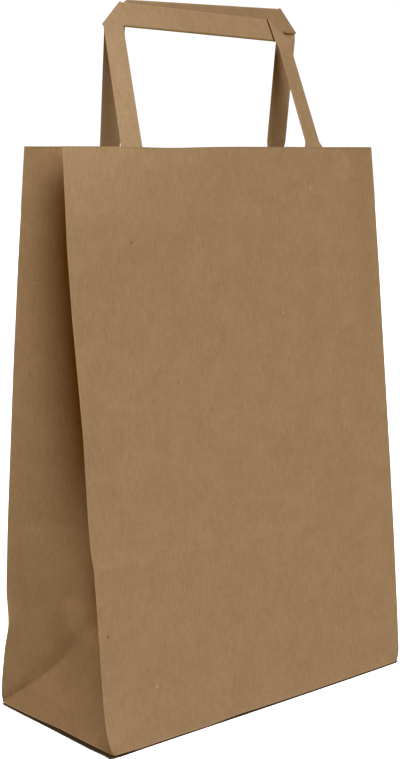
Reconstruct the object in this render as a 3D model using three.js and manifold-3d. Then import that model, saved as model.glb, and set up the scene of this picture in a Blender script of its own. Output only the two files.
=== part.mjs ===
// Paper carrier bag with flat strap handles, standing open on its block bottom.
// Millimetres, +Z up. The origin is the middle of the base, on the surface that the bag stands on.
// The front panel faces -Y, and left and right are as seen from the front.
import * as THREE from 'three';
import { mergeVertices } from 'three/addons/utils/BufferGeometryUtils.js';
import Module from 'manifold-3d';

const wasm = await Module();
wasm.setup();

// The sheet that the bag is folded from
const PAPER = 0.16;
const BAG_WIDTH = 220;
const BAG_DEPTH = 100;
const PANEL_HEIGHT = 310;
const MOUTH_DEPTH = 36.4;
const SIDE_LAP = 18;
const LAP_FOLD_CLEARANCE = 3;

// The block bottom
const FLAP_OVERLAP = 20;
const END_FLAP_OVERLAP = 8;

// How far each corner fold has sagged inward at its middle, below zero where it stands outward
const FRONT_LEFT_SAG = 2.8;
const FRONT_RIGHT_SAG = -1.6;
const BACK_LEFT_SAG = -2.4;
const BACK_RIGHT_SAG = 1;
const SAG_START = 80;
const SAG_FULL = 112;
const SAG_FADE = 190;

// The crease that is left across the back panel from flat packing
const PACKING_DENT = 3;
const DENT_REACH = 24;

// The flat stretch of each panel that the straps and the patch stiffen: how far it is drawn in at the
// rim, below zero where it stands outward, and how far it is turned, its left end going inward
const FRONT_DRAW = -2;
const FRONT_TURN_DEG = 3;
const BACK_DRAW = 0.6;
const BACK_TURN_DEG = 0.4;
const DRAW_LENGTH = 150;
const ZONE_MARGIN = 3;

// The folded tape handles
const STRAP_WIDTH = 13.4;
const STRAP_THICKNESS = 0.6;
const STRAP_FOLD_GAP = 0.1;
const FRONT_LEG_SPACING = 126;
const BACK_LEG_SPACING = 123.2;
const LEG_GLUED = 38;
const FRONT_RISE = 78.4;
const BACK_LEFT_RISE = 77.5;
const BACK_RIGHT_RISE = 80;
const FRONT_SHIFT = -3.5;
const BACK_SHIFT = 5.8;
const FRONT_LEFT_LEAN_DEG = 16;
const FRONT_RIGHT_LEAN_DEG = 22.4;
const BACK_LEFT_LEAN_DEG = 4;
const BACK_RIGHT_LEAN_DEG = 5;
const FRONT_LEFT_SKEW = 0.021;
const FRONT_RIGHT_SKEW = -0.038;
const BACK_LEFT_SKEW = 0.008;
const BACK_RIGHT_SKEW = 0.029;
const FRONT_RIGHT_TWIST_DEG = 12.5;
const BACK_RIGHT_TWIST_DEG = 7;
const TWIST_RUN = 3;

// The patches that are glued over the ends of the straps
const PATCH_WIDTH = 150;
const PATCH_HEIGHT = 44;
const PATCH_DROP = 2;
const PATCH_RAMP = 1.5;
const STRAP_CLEARANCE = 0.5;

// Glue line between two sheets
const GLUE = 0.05;

// How finely the sheet is divided
const ROWS_BELOW_APEX = 4;
const ROWS_TO_ZONE = 10;
const ROWS_IN_ZONE = 2;
const FLANK_COLUMNS = 4;
const ZONE_COLUMNS = 4;
const HALF_GUSSET_COLUMNS = 3;
const STEP_RUN = 0.02;

// Weights that settle the thickness of the sheet at a point: the small one keeps it from sliding along
// a flat facet, and the large one holds it level on a cut edge.
const SLIDE_WEIGHT = 1e-4;
const LEVEL_WEIGHT = 1e3;

const { clamp, degToRad, lerp, smoothstep } = THREE.MathUtils;

// The walls lean in from the base to the narrow mouth, and the gussets fold to suit.
const HALF_WIDTH = BAG_WIDTH / 2;
const HALF_DEPTH = BAG_DEPTH / 2;
const HALF_MOUTH = MOUTH_DEPTH / 2;
const PANEL_LEAN = Math.asin((HALF_DEPTH - HALF_MOUTH) / PANEL_HEIGHT);
const WALL_HEIGHT = PANEL_HEIGHT * Math.cos(PANEL_LEAN);
const FOOT = PAPER;
const END_LEAN = Math.acos((1 - Math.sin(PANEL_LEAN)) / Math.cos(PANEL_LEAN));
const APEX_HEIGHT = HALF_DEPTH * Math.cos(END_LEAN);
const APEX_INSET = HALF_DEPTH * Math.sin(END_LEAN);
const VALLEY_INSET = Math.sqrt(HALF_DEPTH ** 2 - HALF_MOUTH ** 2);
const FURTHEST_SHIFT = Math.max(Math.abs(FRONT_SHIFT), Math.abs(BACK_SHIFT));
const ZONE_HALF_WIDTH = PATCH_WIDTH / 2 + FURTHEST_SHIFT + ZONE_MARGIN;
const ZONE_HEIGHT = PATCH_HEIGHT + PATCH_DROP + ZONE_MARGIN;

// The levels of the bottom: the front long flap is outermost, the back one lies on it, and the end
// flaps lie over both.
const FRONT_FLAP_LEVEL = 0;
const BACK_FLAP_LEVEL = PAPER;
const LONG_FLAPS_TOP = 2 * PAPER;
const END_FLAPS_LEVEL = LONG_FLAPS_TOP - PAPER / 2;
const END_FLAPS_TOP = 3 * PAPER;

const FRONT = {
  side: -1,
  sag: [FRONT_LEFT_SAG, FRONT_RIGHT_SAG],
  dent: 0,
  draw: FRONT_DRAW,
  turn: Math.tan(degToRad(FRONT_TURN_DEG)),
  lap: 0,
  rise: [FRONT_RISE, FRONT_RISE],
  spacing: FRONT_LEG_SPACING,
  shift: FRONT_SHIFT,
  lean: [degToRad(FRONT_LEFT_LEAN_DEG), degToRad(FRONT_RIGHT_LEAN_DEG)],
  twist: [0, degToRad(FRONT_RIGHT_TWIST_DEG)],
  skew: [FRONT_LEFT_SKEW, FRONT_RIGHT_SKEW],
};
const BACK = {
  side: 1,
  sag: [BACK_LEFT_SAG, BACK_RIGHT_SAG],
  dent: PACKING_DENT,
  draw: BACK_DRAW,
  turn: Math.tan(degToRad(BACK_TURN_DEG)),
  lap: SIDE_LAP,
  rise: [BACK_LEFT_RISE, BACK_RIGHT_RISE],
  spacing: BACK_LEG_SPACING,
  shift: BACK_SHIFT,
  lean: [degToRad(BACK_LEFT_LEAN_DEG), degToRad(BACK_RIGHT_LEAN_DEG)],
  twist: [0, degToRad(BACK_RIGHT_TWIST_DEG)],
  skew: [BACK_LEFT_SKEW, BACK_RIGHT_SKEW],
};

// How far a panel stands inside its straight wall, at x and at a height above the foot
function inward(panel, x, height) {
  const across = (x + HALF_WIDTH) / BAG_WIDTH;
  const sagging = smoothstep(height, SAG_START, SAG_FULL)
    * (1 - smoothstep(height, WALL_HEIGHT - SAG_FADE, WALL_HEIGHT));
  const denting = Math.max(0, 1 - Math.abs(height - APEX_HEIGHT) / DENT_REACH);
  const folds = lerp(panel.sag[0], panel.sag[1], across) * sagging + panel.dent * denting;
  const below = WALL_HEIGHT - height;
  const zone = panel.draw * (1 - below / DRAW_LENGTH) - panel.turn * x;
  const flank = 1 - smoothstep(Math.abs(x), ZONE_HALF_WIDTH, HALF_WIDTH);
  const depth = 1 - smoothstep(below, ZONE_HEIGHT, DRAW_LENGTH);
  return lerp(folds, zone, flank * depth);
}

function panelPoint(panel, x, height) {
  const halfDepth = lerp(HALF_DEPTH, HALF_MOUTH, height / WALL_HEIGHT);
  return new THREE.Vector3(x, panel.side * (halfDepth - inward(panel, x, height)), FOOT + height);
}

// The columns of a panel from left to right, each with the number of paper layers there
function panelColumns(panel) {
  const flank = HALF_WIDTH - ZONE_HALF_WIDTH;
  const xs = [];
  for (let i = 0; i <= FLANK_COLUMNS; i++) {
    xs.push(-HALF_WIDTH + (flank * i) / FLANK_COLUMNS);
  }
  for (let i = 1; i < ZONE_COLUMNS; i++) {
    xs.push(-ZONE_HALF_WIDTH + (2 * ZONE_HALF_WIDTH * i) / ZONE_COLUMNS);
  }
  for (let i = 0; i <= FLANK_COLUMNS; i++) {
    xs.push(ZONE_HALF_WIDTH + (flank * i) / FLANK_COLUMNS);
  }
  const lapEdge = HALF_WIDTH - panel.lap;
  const lapEnd = HALF_WIDTH - LAP_FOLD_CLEARANCE;
  if (panel.lap > 0) {
    xs.push(lapEdge, lapEdge + STEP_RUN, lapEnd);
  }
  xs.sort((a, b) => a - b);
  return xs.map((x) => ({ x, layers: panel.lap > 0 && x > lapEdge && x <= lapEnd ? 2 : 1 }));
}

// A gusset from its back fold to its front fold, without the folds themselves. Below the apex the
// end triangle lies between two slanting creases, and above it they have run into one valley.
function gussetPoints(end, height) {
  const x = end * HALF_WIDTH;
  const back = panelPoint(BACK, x, height);
  const front = panelPoint(FRONT, x, height);
  const climbed = Math.min(1, height / APEX_HEIGHT);
  const above = Math.max(0, (height - APEX_HEIGHT) / (WALL_HEIGHT - APEX_HEIGHT));
  const inset = climbed < 1 ? APEX_INSET * climbed : lerp(APEX_INSET, VALLEY_INSET, above);
  const middle = ((back.y + front.y) / 2) * climbed;
  const crease = (side) => new THREE.Vector3(
    x - end * inset,
    middle + side * HALF_DEPTH * (1 - climbed),
    FOOT + height,
  );
  const points = [];
  for (let i = 1; i <= HALF_GUSSET_COLUMNS; i++) {
    points.push(back.clone().lerp(crease(1), i / HALF_GUSSET_COLUMNS));
  }
  points.push(crease(0));
  for (let i = HALF_GUSSET_COLUMNS; i >= 1; i--) {
    points.push(front.clone().lerp(crease(-1), i / HALF_GUSSET_COLUMNS));
  }
  return points;
}

// One level ring of the walls, anticlockwise seen from above
function wallRing(height) {
  const layered = (point, layers) => ({ point, layers });
  const front = panelColumns(FRONT).map((c) => layered(panelPoint(FRONT, c.x, height), c.layers));
  const back = panelColumns(BACK).map((c) => layered(panelPoint(BACK, c.x, height), c.layers));
  const right = gussetPoints(1, height).map((point) => layered(point, 1));
  const left = gussetPoints(-1, height).map((point) => layered(point, 1));
  return [...front, ...right.reverse(), ...back.reverse(), ...left];
}

function wallHeights() {
  const heights = [];
  for (let i = 0; i < ROWS_BELOW_APEX; i++) {
    heights.push((APEX_HEIGHT * i) / ROWS_BELOW_APEX);
  }
  const zoneStart = WALL_HEIGHT - ZONE_HEIGHT;
  for (let i = 0; i < ROWS_TO_ZONE; i++) {
    heights.push(lerp(APEX_HEIGHT, zoneStart, i / ROWS_TO_ZONE));
  }
  for (let i = 0; i <= ROWS_IN_ZONE; i++) {
    heights.push(lerp(zoneStart, WALL_HEIGHT, i / ROWS_IN_ZONE));
  }
  return heights;
}

function geometryFrom(points, triangles) {
  const geometry = new THREE.BufferGeometry();
  const position = new THREE.Float32BufferAttribute(points.flatMap((p) => p.toArray()), 3);
  geometry.setAttribute('position', position);
  geometry.setIndex(triangles.flat());
  geometry.computeVertexNormals();
  return geometry;
}

// The step from the outer face to the inner face at one point of the sheet: it lies one paper
// thickness behind every facet that meets there, so folds come out mitred. On a cut edge it is level.
function thicknessStep(normals, onCutEdge) {
  const upright = onCutEdge ? LEVEL_WEIGHT : SLIDE_WEIGHT;
  const m = new THREE.Matrix3().set(SLIDE_WEIGHT, 0, 0, 0, SLIDE_WEIGHT, 0, 0, 0, upright);
  const sum = new THREE.Vector3();
  for (const n of normals) {
    const v = n.toArray();
    for (let row = 0; row < 3; row++) {
      for (let column = 0; column < 3; column++) {
        m.elements[3 * column + row] += v[row] * v[column];
      }
    }
    sum.addScaledVector(n, -PAPER);
  }
  return sum.applyMatrix3(m.invert());
}

// The four walls as one closed sheet with an outer face, an inner face and two cut edges
function wallGeometry() {
  const rings = wallHeights().map(wallRing);
  const count = rings[0].length;
  const vertices = [];
  const known = new Map();
  const grid = rings.map((ring, row) => ring.map(({ point, layers }) => {
    const key = point.toArray().map((v) => v.toFixed(4)).join(' ');
    if (!known.has(key)) {
      known.set(key, vertices.length);
      vertices.push({ point, layers, normals: [], cut: row === 0 || row === rings.length - 1 });
    }
    return known.get(key);
  }));

  const facets = [];
  const facet = (a, b, c) => {
    if (a === b || b === c || c === a) {
      return;
    }
    facets.push([a, b, c]);
    const corners = [a, b, c].map((i) => vertices[i].point);
    const normal = new THREE.Triangle(...corners).getNormal(new THREE.Vector3());
    for (const i of [a, b, c]) {
      vertices[i].normals.push(normal);
    }
  };
  for (let row = 0; row + 1 < grid.length; row++) {
    for (let i = 0; i < count; i++) {
      const next = (i + 1) % count;
      facet(grid[row][i], grid[row][next], grid[row + 1][next]);
      facet(grid[row][i], grid[row + 1][next], grid[row + 1][i]);
    }
  }

  const steps = vertices.map((v) => thicknessStep(v.normals, v.cut));
  const outer = vertices.map((v, i) => v.point.clone().addScaledVector(steps[i], 1 - v.layers));
  const inner = vertices.map((v, i) => v.point.clone().add(steps[i]));
  const shift = vertices.length;
  const innerFacets = facets.map(([a, b, c]) => [a + shift, c + shift, b + shift]);
  const triangles = [...facets, ...innerFacets];
  const edge = (a, b) => {
    if (a !== b) {
      triangles.push([a, b, b + shift], [a, b + shift, a + shift]);
    }
  };
  const rim = grid[grid.length - 1];
  for (let i = 0; i < count; i++) {
    const next = (i + 1) % count;
    edge(rim[i], rim[next]);
    edge(grid[0][next], grid[0][i]);
  }
  return geometryFrom([...outer, ...inner], triangles);
}

function solidOf(geometry) {
  const bare = geometry.clone();
  bare.deleteAttribute('normal');
  bare.deleteAttribute('uv');
  const welded = mergeVertices(bare);
  return new wasm.Manifold(new wasm.Mesh({
    numProp: 3,
    vertProperties: new Float32Array(welded.attributes.position.array),
    triVerts: new Uint32Array(welded.index.array),
  }));
}

function geometryOf(solid) {
  const mesh = solid.getMesh();
  const geometry = new THREE.BufferGeometry();
  geometry.setAttribute('position', new THREE.BufferAttribute(mesh.vertProperties, 3));
  geometry.setIndex(new THREE.BufferAttribute(mesh.triVerts, 1));
  geometry.computeVertexNormals();
  return geometry;
}

// A layer of the bottom, drawn from above and running from one level to another
function layerSolid(outline, from, to) {
  const shape = new THREE.Shape(outline.map(([x, y]) => new THREE.Vector2(x, y)));
  const geometry = new THREE.ExtrudeGeometry(shape, { depth: to - from, bevelEnabled: false });
  geometry.translate(0, 0, from);
  return solidOf(geometry);
}

// The long flap of the front or back panel, with its ends folded in at 45 degrees
function longFlap(side, from) {
  const x = HALF_WIDTH - PAPER / 2;
  const y = HALF_DEPTH - PAPER / 2;
  const reach = y + FLAP_OVERLAP / 2;
  const outline = [
    [-x, side * y],
    [x, side * y],
    [x - reach, side * (y - reach)],
    [reach - x, side * (y - reach)],
  ];
  return layerSolid(outline, from, LONG_FLAPS_TOP);
}

// The flap of a gusset, which lies inside, over the ends of the long flaps
function endFlap(end) {
  const outside = end * (HALF_WIDTH - PAPER);
  const inside = end * (HALF_WIDTH - HALF_DEPTH - END_FLAP_OVERLAP);
  const y = HALF_DEPTH - PAPER / 2;
  const outline = [[outside, -y], [inside, -y], [inside, y], [outside, y]];
  return layerSolid(outline, END_FLAPS_LEVEL, END_FLAPS_TOP);
}

function bagBodyGeometry() {
  const flaps = [
    longFlap(FRONT.side, FRONT_FLAP_LEVEL),
    longFlap(BACK.side, BACK_FLAP_LEVEL),
    endFlap(-1),
    endFlap(1),
  ];
  const walls = solidOf(wallGeometry());
  return geometryOf(flaps.reduce((body, flap) => body.add(flap), walls));
}

// The place of the flat stretch of a panel: x runs along the rim with the outside behind it, y
// points into the bag and z up the sheet. The outer face of the sheet is at y = 0.
function zoneGroup(panel) {
  const seat = panelPoint(panel, panel.shift, WALL_HEIGHT);
  const beside = panelPoint(panel, panel.shift - panel.side, WALL_HEIGHT);
  const under = panelPoint(panel, panel.shift, WALL_HEIGHT - PATCH_HEIGHT);
  const along = beside.sub(seat).normalize();
  const into = seat.clone().sub(under).cross(along).normalize();
  const up = along.clone().cross(into);
  const group = new THREE.Group();
  group.position.copy(seat);
  group.quaternion.setFromRotationMatrix(new THREE.Matrix4().makeBasis(along, into, up));
  return group;
}

// One length of folded paper tape: up a leg, over a mitre fold to the inside, along the bar, and
// over the other mitre fold down the second leg. It is drawn on the flat stretch of its panel.
function handleGeometry(panel, zone) {
  const into = new THREE.Vector3(0, 1, 0).applyQuaternion(zone.quaternion);
  const zoneLean = Math.asin(-into.z);
  const T = STRAP_THICKNESS;
  const outerX = panel.spacing / 2 + STRAP_WIDTH / 2;
  const innerX = panel.spacing / 2 - STRAP_WIDTH / 2;
  const top = (panel.rise[0] + panel.rise[1]) / 2;
  const low = top - STRAP_WIDTH;
  const fold = T * Math.SQRT2;
  const seat = PAPER + GLUE;
  const farLayer = 2 * T + STRAP_FOLD_GAP;
  const middle = farLayer / 2;

  // Above the rim the strap has its own lean, skew to the right and rise, which change evenly from
  // leg to leg.
  const place = (x, y, height) => {
    const fromLeft = 0.5 - panel.side * (x / panel.spacing);
    const between = ([left, right]) => lerp(left, right, fromLeft);
    const lean = between(panel.lean) - zoneLean;
    const rise = Math.max(0, height) * (between(panel.rise) / top);
    return new THREE.Vector3(
      x - panel.side * between(panel.skew) * rise,
      seat + y + rise * Math.sin(lean),
      height < 0 ? height : rise * Math.cos(lean),
    );
  };

  // A cross-section of the tape, given as x and height of its two edges on the face that is outside
  // on the legs and on the face that is inside there, with the level of each face
  const section = (outside, outsideY, inside, insideY) => [
    place(outside[0], outsideY, outside[1]),
    place(outside[2], outsideY, outside[3]),
    place(inside[2], insideY, inside[3]),
    place(inside[0], insideY, inside[1]),
  ];
  const across = (end, height) => [end * outerX, height, end * innerX, height];
  const level = (end, height) => section(across(end, height), 0, across(end, height), T);
  // A leg may be twisted about its own middle between the rim and the bar, its outer edge going in.
  const twisted = (end, height) => {
    const twist = end * panel.twist[end * panel.side < 0 ? 1 : 0];
    const middleOf = place((end * panel.spacing) / 2, T / 2, height);
    const axis = new THREE.Vector3(0, 0, 1);
    return level(end, height).map((p) => p.sub(middleOf).applyAxisAngle(axis, twist).add(middleOf));
  };
  const mitre = (end, out) => [end * (outerX + out), low + out, end * (innerX + out), top + out];
  const crease = (end, run, drop) => [
    end * (outerX - run), low - drop, end * (innerX - run), top - drop,
  ];
  const bulge = T / 2;
  const legSide = (end) => section(mitre(end, 0), 0, crease(end, 0, fold), T);
  const turn = (end) => section(mitre(end, bulge), middle, crease(end, fold / 2, fold / 2), middle);
  const barSide = (end) => section(mitre(end, 0), farLayer, crease(end, fold, 0), T + STRAP_FOLD_GAP);
  const sections = [
    level(-1, -LEG_GLUED), level(-1, 0), twisted(-1, TWIST_RUN), twisted(-1, low - TWIST_RUN),
    legSide(-1), turn(-1), barSide(-1), barSide(1), turn(1), legSide(1),
    twisted(1, low - TWIST_RUN), twisted(1, TWIST_RUN), level(1, 0), level(1, -LEG_GLUED),
  ];

  const triangles = [[0, 2, 1], [0, 3, 2]];
  for (let s = 0; s + 1 < sections.length; s++) {
    for (let i = 0; i < 4; i++) {
      const a = 4 * s + i;
      const b = 4 * s + ((i + 1) % 4);
      triangles.push([a, b + 4, a + 4], [a, b, b + 4]);
    }
  }
  const last = 4 * (sections.length - 1);
  triangles.push([last, last + 1, last + 2], [last, last + 2, last + 3]);
  return geometryFrom(sections.flat(), triangles);
}

// The patch lies on the panel and rises over the end of each strap, as far as its width reaches.
function patchGeometry(panel) {
  const low = PAPER + GLUE;
  const high = low + STRAP_THICKNESS + GLUE;
  const half = STRAP_WIDTH / 2 + STRAP_CLEARANCE;
  const end = PATCH_WIDTH / 2;
  const legs = [-panel.spacing / 2, panel.spacing / 2];
  const levelAt = (x) => {
    const fromLeg = Math.min(...legs.map((leg) => Math.abs(x - leg)));
    return lerp(high, low, clamp((fromLeg - half) / PATCH_RAMP, 0, 1));
  };
  const bends = legs.flatMap((leg) => [
    leg - half - PATCH_RAMP,
    leg - half,
    leg + half,
    leg + half + PATCH_RAMP,
  ]);
  const stations = [-end, ...bends.filter((x) => Math.abs(x) < end), end];
  const underside = stations.map((x) => new THREE.Vector2(x, levelAt(x)));
  const upside = stations.map((x) => new THREE.Vector2(x, levelAt(x) + PAPER)).reverse();
  const outline = [...underside, ...upside];
  const geometry = new THREE.ExtrudeGeometry(new THREE.Shape(outline), {
    depth: PATCH_HEIGHT,
    bevelEnabled: false,
  });
  geometry.translate(0, 0, -PATCH_DROP - PATCH_HEIGHT);
  return geometry;
}

function paperMaterial(color) {
  return new THREE.MeshStandardMaterial({ color, roughness: 0.85, metalness: 0 });
}

function namedMesh(name, geometry, color) {
  const mesh = new THREE.Mesh(geometry, paperMaterial(color));
  mesh.name = name;
  return mesh;
}

const KRAFT = 0x9b7b5a;
const KRAFT_TAPE = 0xa58463;

const bag = new THREE.Group();
bag.add(namedMesh('bag_body', bagBodyGeometry(), KRAFT));
for (const [name, panel] of [['front', FRONT], ['back', BACK]]) {
  const zone = zoneGroup(panel);
  zone.add(namedMesh(`${name}_handle`, handleGeometry(panel, zone), KRAFT_TAPE));
  zone.add(namedMesh(`${name}_handle_patch`, patchGeometry(panel), KRAFT));
  bag.add(zone);
}

export default bag;
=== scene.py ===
"""Looks of a kraft paper carrier bag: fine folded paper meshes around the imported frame, in metres, +Z up."""
import math

import bpy
import numpy as np
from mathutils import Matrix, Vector


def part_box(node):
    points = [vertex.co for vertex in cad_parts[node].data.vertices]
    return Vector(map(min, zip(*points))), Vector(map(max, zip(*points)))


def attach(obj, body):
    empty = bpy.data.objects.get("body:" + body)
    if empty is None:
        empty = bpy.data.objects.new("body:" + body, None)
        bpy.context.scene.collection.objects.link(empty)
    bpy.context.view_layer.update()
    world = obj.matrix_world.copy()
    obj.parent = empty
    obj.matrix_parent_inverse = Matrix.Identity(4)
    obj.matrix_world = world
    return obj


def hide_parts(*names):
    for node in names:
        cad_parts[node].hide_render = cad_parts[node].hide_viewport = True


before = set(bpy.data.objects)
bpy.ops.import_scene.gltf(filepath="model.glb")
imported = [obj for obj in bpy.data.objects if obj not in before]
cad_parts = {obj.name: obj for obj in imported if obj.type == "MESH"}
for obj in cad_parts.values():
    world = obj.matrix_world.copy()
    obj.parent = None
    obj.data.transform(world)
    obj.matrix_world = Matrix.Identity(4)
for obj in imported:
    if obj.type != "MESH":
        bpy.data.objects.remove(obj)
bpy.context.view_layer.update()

MM = 0.001

# The sheet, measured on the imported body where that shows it
body_low, body_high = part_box("bag_body")
PAPER = 0.16 * MM
HALF_WIDTH = (body_high.x - body_low.x) / 2
HALF_DEPTH = 50 * MM
WALL_HEIGHT = body_high.z - PAPER
HALF_MOUTH = 18.2 * MM
FOOT = PAPER

# How far along the sheet each kind of fold is rounded
FOLD_SOFTNESS = 0.5 * MM
VALLEY_SOFTNESS = 3.5 * MM
CREASE_SOFTNESS = 0.8 * MM
FRONT_CREASE_SOFTNESS = 7 * MM
VALLEY_SOFT_FROM, VALLEY_SOFT_TO = 4 * MM, 18 * MM
CORNER_SOFT_FROM, CORNER_SOFT_TO = 1.5 * MM, 12 * MM
# Shares of the apex's height and of half the depth between which a softness changes to the next
APEX_SOFT_FROM, APEX_SOFT_TO = 0.8, 2
FRONT_SOFT_FROM, FRONT_SOFT_TO = 1.1, 0.8
AVERAGE_POINTS, AVERAGE_TAPER = 9, 0.8

# How far each corner fold stands inside its straight line: heights and distances in millimetres
FRONT_LEFT_FOLD = (
    (0, -1.0), (6, 0.1), (13, 2.0), (24, 3.0), (96, 2.8), (105, 4.3),
    (120, 4.6), (163, 3.5), (225, 5.5), (255, 5.5), (308, 3.0),
)
FRONT_RIGHT_FOLD = ((0, -0.4), (30, -1.3), (75, -2.1), (115, -2.5), (240, -2.5), (285, -2.2), (308, -1.8))
BACK_LEFT_FOLD = (
    (0, -1.6), (18, -1.25), (34, 0.2), (47, 2.9), (53, 2.4), (66, -0.4),
    (74, -0.9), (110, -1.85), (195, -2.15), (245, -1.55), (308, 0.1),
)
BACK_RIGHT_FOLD = ((0, 0), (112, 1), (200, 1), (308, 0))
FINE_BEND = 2.5 * MM
BROAD_BEND = 45 * MM
FOLD_REACH = 14 * MM
GUSSET_FOLD_REACH = 5 * MM

# The left end: heights with the depth of its fold and with the place of its valley from the front fold, in
# millimetres. One slanting crease runs from the back of the foot to the front fold, over a leaning triangle.
LEFT_DEPTH = (
    (0, 3.6), (14, 4.3), (36, 4.2), (52, 5.9), (80, 10.1),
    (100, 17), (120, 23), (140, 28), (165, 33.5), (310, 46.6),
)
LEFT_VALLEY = ((0, 30), (52, 13), (80, 12), (108, 30), (140, 46), (165, 50), (310, 50))
LEFT_ROUNDING = 6 * MM
TRIANGLE_LEAN = math.tan(math.radians(5.3))
TRIANGLE_EDGE = 60 * MM
TRIANGLE_TOP, STRIP_FOOT = 52 * MM, 68 * MM
CREASE_SLOPE = 0.765
CREASE_START = 0.5 * MM
DENT_LEAN = math.tan(math.radians(7))
DENT_FADE = 0.36
DENT_FRONT = 8 * MM
BACK_ROUND, BACK_ROUND_REACH = 3.1 * MM, 7.7 * MM
BACK_ROUND_FROM, BACK_ROUND_TO = 15 * MM, 115 * MM
STRAIGHT_FROM, STRAIGHT_TO = 100 * MM, 160 * MM
# Shade painted along the upper side of the slanting crease, darkest near its back corner: strength, fade,
# corner and edges of the painted band
CREASE_PAINTED_SHADE, TONE_FADE = 1.6, 0.5
TONE_CORNER, TONE_CORNER_REACH = 1.6, 9 * MM
TONE_EDGE = (-0.8 * MM, 0.4 * MM)
TONE_END = (36 * MM, 66 * MM)
PILLOW, PILLOW_SIZE = 2.8 * MM, 29 * MM
PILLOW_ACROSS, PILLOW_HEIGHT = 21 * MM, 61 * MM
PILLOW_TOP = 82 * MM
PILLOW_RAMP = 8 * MM

# Both panels bow out, at mid height and at the foot, and the front left corner is blunt at the foot.
PANEL_BOW = 1.5 * MM
FOOT_BOW = 0.7 * MM
FOOT_BOW_FADE = 60 * MM
CORNER_BLUNT = 4 * MM
BLUNT_HEIGHT = 9 * MM
TUCK_X, TUCK_Y = 1.4 * MM, 0.5 * MM
TUCK_REACH = 9 * MM

# Shallow dips of the front rim: place, width and depth in millimetres
RIM_DIPS = ((-42, 24, 0.65), (80, 14, 0.9))
BACK_RIM_DIP = 0.8 * MM
RIM_DIP_FADE = 40 * MM

# The crease across the bag from flat packing
PACKING_HEIGHT = 97 * MM
PACKING_RIDGE = 0.14 * MM
PACKING_RIDGE_REACH = 5 * MM
GUSSET_PLEAT = 0.8 * MM
PLEAT_TOP, PLEAT_FOOT, PLEAT_END = 108 * MM, 100 * MM, 60 * MM

# How far the foot's edges stand off the floor: distances from the front left fold and heights in millimetres
FRONT_LIFT = (
    (0, 1.4), (10, 1.3), (20, 0.7), (45, 0.8), (65, 0.5),
    (88, 1.35), (103, 1.1), (125, 0.85), (220, 0.8),
)
LEFT_LIFT = ((0, 1.4), (10, 2.5), (45, 2.6), (62, 1.75), (85, 1.15), (100, 1.0))
PLAIN_LIFT = 0.8 * MM
LIFT_ROUNDING = 4 * MM
LIFT_FADE = 20 * MM
FOOT_SLOPE = 12 * MM
FOOT_LEVEL = 0.3 * MM
FOOT_RING_ROWS = 8

# The flat stretch at the rim that carries the straps and the patch
FRONT_DRAW, FRONT_TURN = -2 * MM, math.tan(math.radians(3))
BACK_DRAW, BACK_TURN = 0.6 * MM, math.tan(math.radians(0.4))
DRAW_LENGTH = 150 * MM
PATCH_WIDTH = 150 * MM
PATCH_HEIGHT = 44 * MM
PATCH_DROP = 2 * MM
PATCH_RAMP = 1.5 * MM
ZONE_MARGIN = 3 * MM

# The folded tape handles
STRAP_WIDTH = 13.4 * MM
STRAP_THICKNESS = 0.6 * MM
STRAP_CLEARANCE = 0.5 * MM
LEG_GLUED = 38 * MM
GLUE = 0.05 * MM
TWIST_RUN = 3 * MM
MITRE_CUT = 1 * MM
BAR_SECTIONS = 40
BAR_MARGIN = 1 * MM
GLUED_SECTIONS, FREE_SECTIONS, TURN_SECTIONS = 5, 40, 9
TURN_START = 0.3 * MM
# A shadow line painted along the lower edge of each bar: its share of the tape's width and its strength
BAR_SHADE_WIDTH, BAR_PAINTED_SHADE = 0.04, -4.5
# The tape's cross-section: shares of its width and of its half thickness, thicker where its edges are folded
TAPE_SHARES = (0, 0.012, 0.035, 0.1, 0.3, 0.5, 0.7, 0.9, 0.965, 0.988, 1)
TAPE_SWELL = (0.35, 0.8, 1.0, 0.96, 0.9, 0.88, 0.9, 0.96, 1.0, 0.8, 0.35)
TAPE_EDGE = 0.05

# How finely things are divided
PANEL_STEP = 4 * MM
GUSSET_STEP = 2.4 * MM
LEFT_STEP = 1.4 * MM
ROW_STEP = 2.8 * MM
LOW_ROWS = ((16 * MM, 0.8 * MM), (60 * MM, 1.4 * MM))
FOLD_STEPS = (0.15 * MM, 0.3 * MM, 0.5 * MM, 0.9 * MM, 1.6 * MM)
FOOT_ROW = 0.3 * MM
RIM_ROWS = (0.5 * MM, 1.2 * MM)
PACKING_ROWS = np.linspace(-8, 12, 11) * MM
CLOSEST_ROWS = 0.1 * MM
PATCH_COLUMNS, PATCH_ROWS = 46, 17
RAMP_COLUMNS = np.linspace(-0.3, 1.3, 9)
SHARP_DEG = 40

# Gentle waves of the paper
WAVE_COUNT = 14
WAVE_LENGTHS = (38 * MM, 120 * MM)
WAVE_SLOPE = math.radians(0.35)
WAVE_SEED = 11
PANEL_WAVE_FOLD, PANEL_WAVE_FOOT = 30 * MM, 40 * MM
GUSSET_WAVE_FOLD, GUSSET_WAVE_FOOT = 14 * MM, 60 * MM

# Laps and flaps
SIDE_LAP = 18 * MM
LAP_EDGE = 0.3 * MM
LAP_START, LAP_TAIL = 1 * MM, 2 * MM
FLAP_MARGIN = 1 * MM
FLAP_OVERLAP = 20 * MM
END_FLAP_OVERLAP = 8 * MM

# The camera, and the frame of the picture that it fills
CAMERA_PLACE = (-0.5314, -0.6050, 0.3055)
CAMERA_YAW_DEG = 40.94
CAMERA_PITCH_DEG = 8.943
FOCAL_PIXELS = 1443.6
PICTURE_HEIGHT = 759
SENSOR_WIDTH = 36.0
CAMERA_CLIP = (0.01, 50)

# Wear and tone, as shares that the material reads, with their widths
FOLD_WEAR, FOLD_WEAR_WIDTH = 0.8, 0.9 * MM
FOOT_WEAR, FOOT_WEAR_WIDTH = 0.9, 1.2 * MM
PACKING_WEAR, PACKING_WEAR_WIDTH = 0.25, 1.2 * MM
RIM_TONE, RIM_TONE_WIDTH = 1.6, 0.6 * MM

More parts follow.
